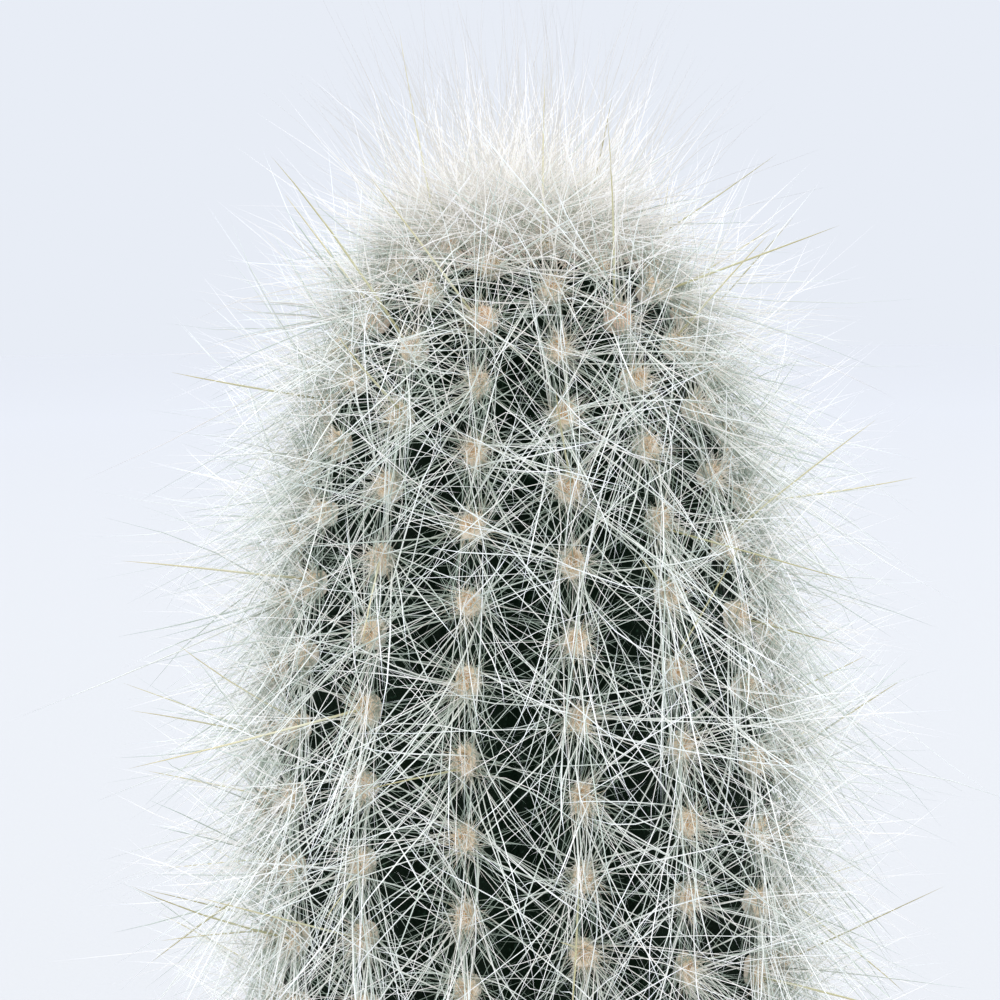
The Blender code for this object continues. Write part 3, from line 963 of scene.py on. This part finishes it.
class TORCH_OT_bristles(bpy.types.Operator):
    """Lay the silvery bristles of every cushion and of the crown"""
    bl_idname = "torch.bristles"
    bl_label = "Silvery bristles"

    def execute(self, context):
        look = context.scene.torch_bristles
        draw = np.random.default_rng(SEED + 1)
        long_finish, edge_finish, crown_finish, ray_finish = self.finishes(look)
        long_strand, edge_strand = model_strand(3, LONG_RINGS), model_strand(3, EDGE_RINGS)
        ray_strand = model_strand(3, RAY_RINGS)
        places = cushion_places()
        bands = np.array_split(places[np.argsort(places[:, 1])], 3)
        for name, band in zip(("upper", "middle", "lower"), bands):
            spot = on_stem(band[:, 0], band[:, 1], ROOT_LIFT)
            youth = self.youth(look, band[:, 1])
            rays = lay_strands("rays_" + name, ray_strand, *self.rays(look, draw, spot, youth))
            finish_piece(rays, ray_finish)
            bristles = lay_strands(
                "bristles_" + name, long_strand, *self.bundles(look, draw, spot, youth))
            finish_piece(bristles, long_finish)
        spot = on_stem(places[:, 0], places[:, 1], ROOT_LIFT)
        youth = self.youth(look, places[:, 1])
        standing = lay_strands(
            "standing_bristles", edge_strand, *self.standing(look, draw, spot, youth))
        finish_piece(standing, edge_finish)
        tuft = lay_strands("crown_tuft", edge_strand, *self.tuft(look, draw))
        finish_piece(tuft, crown_finish)
        return {"FINISHED"}

    def finishes(self, look):
        """The materials of the long, standing, crown and fine bristles."""
        # Every bristle finish has a painted glow; the standing and crown bristles have darker
        # colours under a stronger one, which evens out their own light and shade
        young = [(0.87, look.young), (1.0, linear("EEECE9"))]
        tints = [(0.0, look.dull), (0.26, linear("D0D6D0")), (0.47, look.ivory),
                 (0.64, look.silver), (0.85, WHITE)] + young
        clear = [(0.0, linear("D8D6D3")), (0.4, linear("E1DFDC")),
                 (0.85, linear("EAE9E7"))] + young
        return (
            strand_finish("Silvery bristle", ROOT_SHADES, tints, 0.38, look.glow),
            strand_finish("Clear young bristle", ROOT_SHADES, clear, 0.38, look.edge_glow),
            strand_finish(
                "Young crown bristle", ROOT_SHADES,
                [(0.0, linear("B6B3AE")), (1.0, linear("D2D0CC"))], 0.38, look.crown_glow,
                CROWN_PAINTED_GLOW),
            # The fine bristles' grey-green is painted shade and painted green light from the skin
            strand_finish(
                "Fine clear bristle",
                [(0.0, linear("D9DFD2")), (0.3, look.ray_colour), (1.0, look.ray_colour)], tints,
                0.45, look.glow * RAY_GLOW))

    def youth(self, look, length):
        """1 at the crown and 0 from the young reach on down."""
        return np.clip(1.0 - length / look.young_reach, 0.0, 1.0)

    def widths(self, look, shares):
        """The finest and the stoutest width, from shares of the finest bristle's."""
        return look.thickness[0] * shares[0], look.thickness[0] * shares[1]

    def settled(self, draw, strands, youth, bend, pull=0.0, shared=1):
        """Bends and tints the strands, and turns up those that would reach the compost."""
        place, course, length, width = strands
        floor = SOIL_LINE + SOIL_GAP
        low = place[:, 2] + course[:, 2] * length < floor
        course[low, 2] = np.maximum(course[low, 2], (floor - place[low, 2]) / length[low])
        course /= np.linalg.norm(course, axis=1, keepdims=True)
        bends = bent(draw, course, *bend, pull, shared)
        count = len(place)
        tints = np.where(draw.random(count) < youth, draw.uniform(YOUNG_TINTS, 1.0, count),
                         draw.uniform(0.0, GROWN_TINTS, count))
        return place, course, bends, length, width, tints

    def rays(self, look, draw, spot, youth):
        """Fine short bristles spread round each cushion close to the skin."""
        each = np.tile(np.arange(look.rays) / look.rays, len(spot[0])) * 360.0
        strands = burst(
            draw, spot, look.rays, RAY_LEAN, lambda n: each + draw.normal(0.0, RAY_JITTER, n),
            look.ray_length, self.widths(look, RAY_WIDTH), look.spread)
        youth = np.repeat(youth, look.rays)
        strands[2] *= 1.0 - 0.3 * youth
        return self.settled(draw, strands, youth, RAY_BEND)

    def bundles(self, look, draw, spot, youth):
        """Long bristles in loose parallel bundles.

        Many run down the stem, and those of the young cushions lie level round the crown.
        """
        total = len(spot[0]) * look.bundles
        youth = np.repeat(youth, look.bundles)
        side = np.where(draw.random(total) < 0.5, -1.0, 1.0)
        turn = np.where(
            draw.random(total) < look.downward,
            180.0 + side * look.drape + draw.normal(0.0, DRAPE_JITTER, total),
            draw.uniform(0.0, 360.0, total))
        level = side * 90.0 + draw.normal(0.0, LEVEL_JITTER, total)
        turn = np.where(draw.random(total) < LEVEL_SHARE * youth, level, turn)
        lean = draw.uniform(*LONG_LEAN, total)
        lean += (LEVEL_LEAN - lean) * 0.6 * youth
        turns, leans = np.repeat(turn, look.bundle_size), np.repeat(lean, look.bundle_size)
        lean_jitter, turn_jitter = BUNDLE_JITTER
        strands = burst(
            draw, spot, look.bundles * look.bundle_size,
            lambda n: leans + draw.normal(0.0, lean_jitter, n),
            lambda n: turns + draw.normal(0.0, turn_jitter, n), look.long_length,
            look.thickness, look.spread)
        youth = np.repeat(youth, look.bundle_size)
        longest = np.repeat(draw.random(total) < LONGEST_SHARE, look.bundle_size)
        strands[2] *= np.where(longest, LONGEST_STRETCH, 1.0) * (1.0 - 0.3 * youth)
        return self.settled(draw, strands, youth, LONG_BEND, LONG_PULL, look.bundle_size)

    def standing(self, look, draw, spot, youth):
        """Bristles that stand off the stem and make its soft edge."""
        strands = burst(
            draw, spot, look.standing, STANDING_LEAN, all_round(draw), STANDING_LENGTH,
            self.widths(look, STANDING_WIDTH), look.spread)
        youth = np.repeat(youth, look.standing)
        strands[2] *= 1.0 - 0.1 * youth
        return self.settled(draw, strands, youth, STANDING_BEND)

    def tuft(self, look, draw):
        """The upright tuft of young bristles over the growing point."""
        strands = burst(
            draw, crown_places(look.crown, TUFT_REACH, TUFT_SUNK), 1,
            lambda n: np.abs(draw.normal(0.0, TUFT_LEAN, n)), all_round(draw), TUFT_LENGTH,
            self.widths(look, TUFT_WIDTH))
        return self.settled(draw, strands, np.ones(look.crown), TUFT_BEND)


SPINE_RINGS = ((0.3, 0.9), (0.6, 0.7), (0.85, 0.38))
SPINE_LEAN = (8, 50)
SPINE_TURN = 75.0
SPINE_WIDTH = (0.8, 1.1)
SPINE_SPREAD = (0.0004, 0.0006)
SPINE_BEND = (0.04, 0.02)
SPINE_SOIL_GAP = 0.003
SPINE_LEAST = 0.25


class TORCH_OT_spines(bpy.types.Operator):
    """Lay the stouter straw-coloured spines"""
    bl_idname = "torch.spines"
    bl_label = "Straw spines"

    def execute(self, context):
        look = context.scene.torch_spines
        draw = np.random.default_rng(SEED + 2)
        places = cushion_places()
        grown = np.clip(places[:, 1] / look.grown_reach, SPINE_LEAST, 1.0)
        counts = np.floor(look.share * grown + draw.random(len(places))).astype(int)
        chosen = np.repeat(places, counts, axis=0)
        thin, stout = SPINE_WIDTH
        place, course, length, width = burst(
            draw, on_stem(chosen[:, 0], chosen[:, 1], ROOT_LIFT), 1, SPINE_LEAN,
            lambda n: draw.normal(0.0, SPINE_TURN, n), look.length,
            (look.thickness * thin, look.thickness * stout), SPINE_SPREAD)
        low = place[:, 2] + course[:, 2] * length < SOIL_LINE + SPINE_SOIL_GAP
        course[low, 2] = np.abs(course[low, 2]) + 0.05
        course /= np.linalg.norm(course, axis=1, keepdims=True)
        bends = bent(draw, course, *SPINE_BEND)
        spines = lay_strands(
            "straw_spines", model_strand(5, SPINE_RINGS), place, course, bends, length, width,
            draw.random(len(place)))
        # The straw spines have a faint painted glow too
        finish_piece(spines, strand_finish(
            "Straw spine", [(0.0, linear("E8E2C4")), (0.3, WHITE), (1.0, linear("D8CDA8"))],
            [(0.0, look.olive), (0.4, look.straw), (1.0, linear("E8E5CC"))], 0.42, 0.16))
        return {"FINISHED"}


def pot_inner_radius(height):
    """Radius of the pot's inside at a height."""
    low, high = FOOT_RADIUS - POT_WALL, RIM_RADIUS - RIM_WALL
    return low + (high - low) * (height - POT_FLOOR) / (POT_HEIGHT - POT_FLOOR)


class TORCH_OT_pot(bpy.types.Operator):
    """Turn the clay pot with its stepped rim and drain hole"""
    bl_idname = "torch.pot"
    bl_label = "Clay pot"

    def execute(self, context):
        look = context.scene.torch_pot
        band_foot = POT_HEIGHT - RIM_HEIGHT
        outline = [
            (DRAIN_RADIUS, POT_FLOOR), (pot_inner_radius(POT_FLOOR), POT_FLOOR),
            (pot_inner_radius(SOIL_LINE), SOIL_LINE), (pot_inner_radius(POT_HEIGHT), POT_HEIGHT),
            (RIM_RADIUS, POT_HEIGHT), (RIM_RADIUS - RIM_DRAFT, band_foot),
            (RIM_RADIUS - RIM_STEP, band_foot), (FOOT_RADIUS, 0.0), (DRAIN_RADIUS, 0.0),
            (DRAIN_RADIUS, POT_FLOOR)]
        pot = turned("clay_pot", outline, look.sides)
        activate(pot)
        bevel = pot.modifiers.new("Rounded edges", "BEVEL")
        bevel.width = look.rounding
        bevel.segments = 4
        bevel.limit_method = "ANGLE"
        bevel.angle_limit = ROUNDED_OVER
        bpy.ops.object.modifier_apply(modifier=bevel.name)
        bpy.ops.object.shade_smooth_by_angle(angle=SMOOTH_BELOW)
        finish_piece(pot, clay_finish(look), ["pot"])
        return {"FINISHED"}


BED_CORNER = 0.0024
BED_RINGS = 24
BED_SIDES = 160

# The bed's top: a mound at the stem, and lumps and fine crumbs by their height and how many
# of them a metre holds
MOUND = 0.0012
LUMPS = (0.0009, 160.0)
FINE_CRUMBS = (0.0005, 620.0)

# Loose pieces: radii, how far in from the stem and the pot they stop, and how they are broken
CRUMB_SIZES = (0.0003, 0.0010)
STONE_SIZES = (0.0008, 0.0021)
STEM_GAP = 0.0006
WALL_GAP = 0.0004
LIFTED = 0.25
LEAST_SHAPE = (1.0, 0.7, 0.55)
MOST_SHAPE = (1.0, 1.0, 0.85)
BROKEN = 0.14
TOP_TONE = 0.999375


class TORCH_OT_compost(bpy.types.Operator):
    """Fill the pot with compost and scatter crumbs and grit on it"""
    bl_idname = "torch.compost"
    bl_label = "Compost and grit"

    def execute(self, context):
        look = context.scene.torch_compost
        edge = pot_inner_radius(SOIL_LINE) - CLEARANCE
        lip = STEM_RADIUS - WAIST + 2 * CLEARANCE
        bottom = SOIL_LINE - ROOT_LENGTH - CLEARANCE
        base = POT_FLOOR + CLEARANCE
        foot = pot_inner_radius(base) - CLEARANCE
        outline = [(0.0, bottom), (ROOT_RADIUS + 2 * CLEARANCE, bottom),
                   (lip, SOIL_LINE - ROOT_LENGTH * ROOT_SHOULDER), (lip, SOIL_LINE)]
        outline += [(lip + (edge - lip) * step / BED_RINGS, SOIL_LINE)
                    for step in range(1, BED_RINGS + 1)]
        outline += [(foot, base + BED_CORNER), (foot - BED_CORNER, base), (0.0, base)]
        bed = turned("compost_bed", outline, BED_SIDES)
        for vertex in bed.data.vertices:
            if abs(vertex.co.z - SOIL_LINE) < 1e-6:
                vertex.co.z = self.height(vertex.co.x, vertex.co.y, edge)
        activate(bed)
        bpy.ops.object.shade_smooth_by_angle(angle=math.radians(60))
        peat = peat_finish(look)
        finish_piece(bed, peat, ["compost"])
        draw = np.random.default_rng(SEED + 3)
        crumbs = self.scatter("compost_crumbs", draw, look.crumbs, 1, CRUMB_SIZES, lip, edge)
        finish_piece(crumbs, peat)
        stones = self.scatter("grit_stones", draw, look.stones, 2, STONE_SIZES, lip, edge)
        finish_piece(stones, stone_finish(look))
        return {"FINISHED"}

    def height(self, x, y, edge):
        """Height of the compost's top at a place on it."""
        mound = MOUND * (1.0 - math.hypot(x, y) / edge)
        coarse = LUMPS[0] * noise.noise(Vector((x, y, 0.0)) * LUMPS[1])
        fine = FINE_CRUMBS[0] * noise.noise(Vector((x, y, 0.3)) * FINE_CRUMBS[1])
        return SOIL_LINE + mound + coarse + fine

    def scatter(self, name, draw, count, detail, sizes, lip, edge):
        """Broken lumps: a jagged ball copied over the compost's top."""
        deselect()
        bpy.ops.mesh.primitive_ico_sphere_add(subdivisions=detail, radius=1.0)
        points, faces = taken(bpy.context.object)
        size = sizes[0] + (sizes[1] - sizes[0]) * draw.random(count) ** 2
        inner, outer = lip + STEM_GAP, edge - WALL_GAP
        radius = np.sqrt(draw.uniform((inner + size) ** 2, (outer - size) ** 2))
        turn = draw.uniform(0.0, 2.0 * math.pi, count)
        x, y = radius * np.cos(turn), radius * np.sin(turn)
        z = np.array([self.height(a, b, edge) for a, b in zip(x, y)]) + size * LIFTED
        shape = size[:, None] * draw.uniform(LEAST_SHAPE, MOST_SHAPE, (count, 3))
        rough = 1.0 + BROKEN * draw.standard_normal((count, len(points), 1))
        angles = draw.uniform(0.0, 2.0 * math.pi, (count, 3))
        made = points[None] * rough * shape[:, None]
        for axis in range(3):
            cos, sin = np.cos(angles[:, axis])[:, None], np.sin(angles[:, axis])[:, None]
            a, b = (axis + 1) % 3, (axis + 2) % 3
            first, second = made[:, :, a].copy(), made[:, :, b].copy()
            made[:, :, a] = first * cos - second * sin
            made[:, :, b] = first * sin + second * cos
        made += np.stack([x, y, z], -1)[:, None]
        corners = np.tile([(0.1, 0.0), (0.9, 0.0), (0.5, 1.0)], (len(faces), 1))
        tones = TOP_TONE * draw.random(count) ** 0.8
        return build_copies(name, made, faces, tone_strips(corners, tones, TONE_STRIPS))


# Lamps: name, place, size, power in watts and colour; all face a point in the plant
LAMPS = (
    ("Key", (-0.9, -1.1, 2.0), 1.4, 10.0, "FFFFFF"),
    ("Fill", (1.3, -0.9, 1.6), 1.6, 4.8, "F4F8FF"),
    ("Behind", (0.3, 0.7, 1.9), 1.4, 3.6, "FFFFFF"),
)
LAMP_AIM = Vector((0.0, 0.0, 0.13))
LOW_SKY = 0.25

# Floor: its rings, and the distances from the plant between which it turns to the far paper
FLOOR_RADII = (0.0, 0.4, 1.2, 6.0)
NEAR_FLOOR = 0.3
FAR_FLOOR = 2.4

# Camera: the depth of its target below the crown, its distance and height over level, how far
# it aims left of the target and below it, and its roll
TARGET_DEPTH = 0.022
CAMERA_DISTANCE = 0.125
CAMERA_ELEVATION = math.radians(7.34)
AIM_LEFT = 0.001853
AIM_DOWN = 0.000258
CAMERA_ROLL = -0.0115


class TORCH_OT_stage(bpy.types.Operator):
    """Set the pale seamless paper, the soft lights and the camera"""
    bl_idname = "torch.stage"
    bl_label = "Studio"

    def execute(self, context):
        look = context.scene.torch_stage
        self.paper(look)
        self.lamps(context)
        self.daylight(context, look)
        self.camera(context, look)
        return {"FINISHED"}

    def paper(self, look):
        """A wide round floor of matt paper that meets the daylight of the same paleness."""
        stage = turned("paper", [(radius, 0.0) for radius in FLOOR_RADII], 64)
        made, node = new_material("Matt seamless paper")
        place = object_place(node)
        grain = node("TexNoise", lumps(place, 0.002, 2.0))[0]
        away = node("VectorMath", {0: place}, operation="LENGTH")["Value"]
        far = node("MapRange", {
            "Value": away, "From Min": NEAR_FLOOR, "From Max": FAR_FLOOR})[0]
        colour = node("Mix", {0: far, 6: look.paper, 7: look.far_paper}, **COLOURS)[2]
        finish_surface(node, colour, 0.9, (grain, 0.0001), IOR=1.4)
        stage.data.materials.append(made)

    def lamps(self, context):
        """A soft key, a fill and a light behind."""
        for name, place, size, power, colour in LAMPS:
            lamp = bpy.data.lights.new(name, "AREA")
            lamp.shape = "DISK"
            lamp.size = size
            lamp.energy = power
            lamp.color = linear(colour)
            holder = bpy.data.objects.new(name, lamp)
            holder.location = place
            turn = (Vector(place) - LAMP_AIM).to_track_quat("Z", "Y")
            holder.rotation_euler = turn.to_euler()
            context.scene.collection.objects.link(holder)

    def daylight(self, context, look):
        """Even daylight from all sides, stronger from above."""
        world = bpy.data.worlds.new("Soft daylight")
        world.use_nodes = True
        tree = world.node_tree
        tree.nodes.clear()
        node = functools.partial(add_node, tree)
        sky = node("TexCoord")["Generated"]
        height = node("SeparateXYZ", {"Vector": sky})["Z"]
        light = node("ValToRGB", {"Fac": height}, [
            (0.0, look.horizon), (LOW_SKY, look.horizon), (1.0, WHITE)])[0]
        strength = node("MapRange", {
            "Value": height, "From Min": LOW_SKY, "From Max": 1.0, "To Min": 1.0,
            "To Max": look.overhead})[0]
        shine = node("Background", {"Color": light, "Strength": strength})[0]
        node("OutputWorld", {"Surface": shine})
        context.scene.world = world
        context.scene.view_settings.view_transform = "Standard"

    def camera(self, context, look):
        """The close view of the stem's top: nearly level, a hand's width off."""
        target = Vector((0.0, 0.0, CROWN_TOP - TARGET_DEPTH))
        back = Vector((0.0, -math.cos(CAMERA_ELEVATION), math.sin(CAMERA_ELEVATION)))
        right = Vector((1.0, 0.0, 0.0))
        up = back.cross(right)
        data = bpy.data.cameras.new("Camera")
        data.sensor_width = 36.0
        data.lens = look.focal_length
        data.clip_start, data.clip_end = 0.004, 20.0
        camera = bpy.data.objects.new("Camera", data)
        camera.location = target + back * CAMERA_DISTANCE
        aim = target - right * AIM_LEFT - up * AIM_DOWN
        turn = (target + back * CAMERA_DISTANCE - aim).to_track_quat("Z", "Y")
        camera.rotation_mode = "QUATERNION"
        camera.rotation_quaternion = turn @ Quaternion((0.0, 0.0, 1.0), CAMERA_ROLL)
        context.scene.collection.objects.link(camera)
        context.scene.camera = camera


class TORCH_PT_pieces(bpy.types.Panel):
    """Lists the pieces of the cactus"""
    bl_idname = "TORCH_PT_pieces"
    bl_label = "Silver torch cactus"
    bl_space_type = "VIEW_3D"
    bl_region_type = "UI"
    bl_category = "Cactus"

    def draw(self, context):
        for operator in OPERATORS:
            self.layout.operator(operator.bl_idname)
        for name, group in SETTINGS.items():
            box = self.layout.box()
            box.label(text=group.__doc__)
            for prop in group.__annotations__:
                box.prop(getattr(context.scene, name), prop)


OPERATORS = (
    TORCH_OT_stem, TORCH_OT_felt, TORCH_OT_bristles, TORCH_OT_spines, TORCH_OT_pot,
    TORCH_OT_compost, TORCH_OT_stage,
)


CLASSES = (*SETTINGS.values(), *OPERATORS, TORCH_PT_pieces)


def register():
    """Makes the settings, the operators and the panel known."""
    for kind in CLASSES:
        bpy.utils.register_class(kind)
    for name, group in SETTINGS.items():
        setattr(bpy.types.Scene, name, bpy.props.PointerProperty(type=group))


def unregister():
    """Takes all of them away again."""
    for name in SETTINGS:
        delattr(bpy.types.Scene, name)
    for kind in reversed(CLASSES):
        bpy.utils.unregister_class(kind)


def main():
    """Builds every piece in turn."""
    register()
    bpy.ops.torch.stem()
    bpy.ops.torch.felt()
    bpy.ops.torch.bristles()
    bpy.ops.torch.spines()
    bpy.ops.torch.pot()
    bpy.ops.torch.compost()
    bpy.ops.torch.stage()


if __name__ == "__main__":
    main()
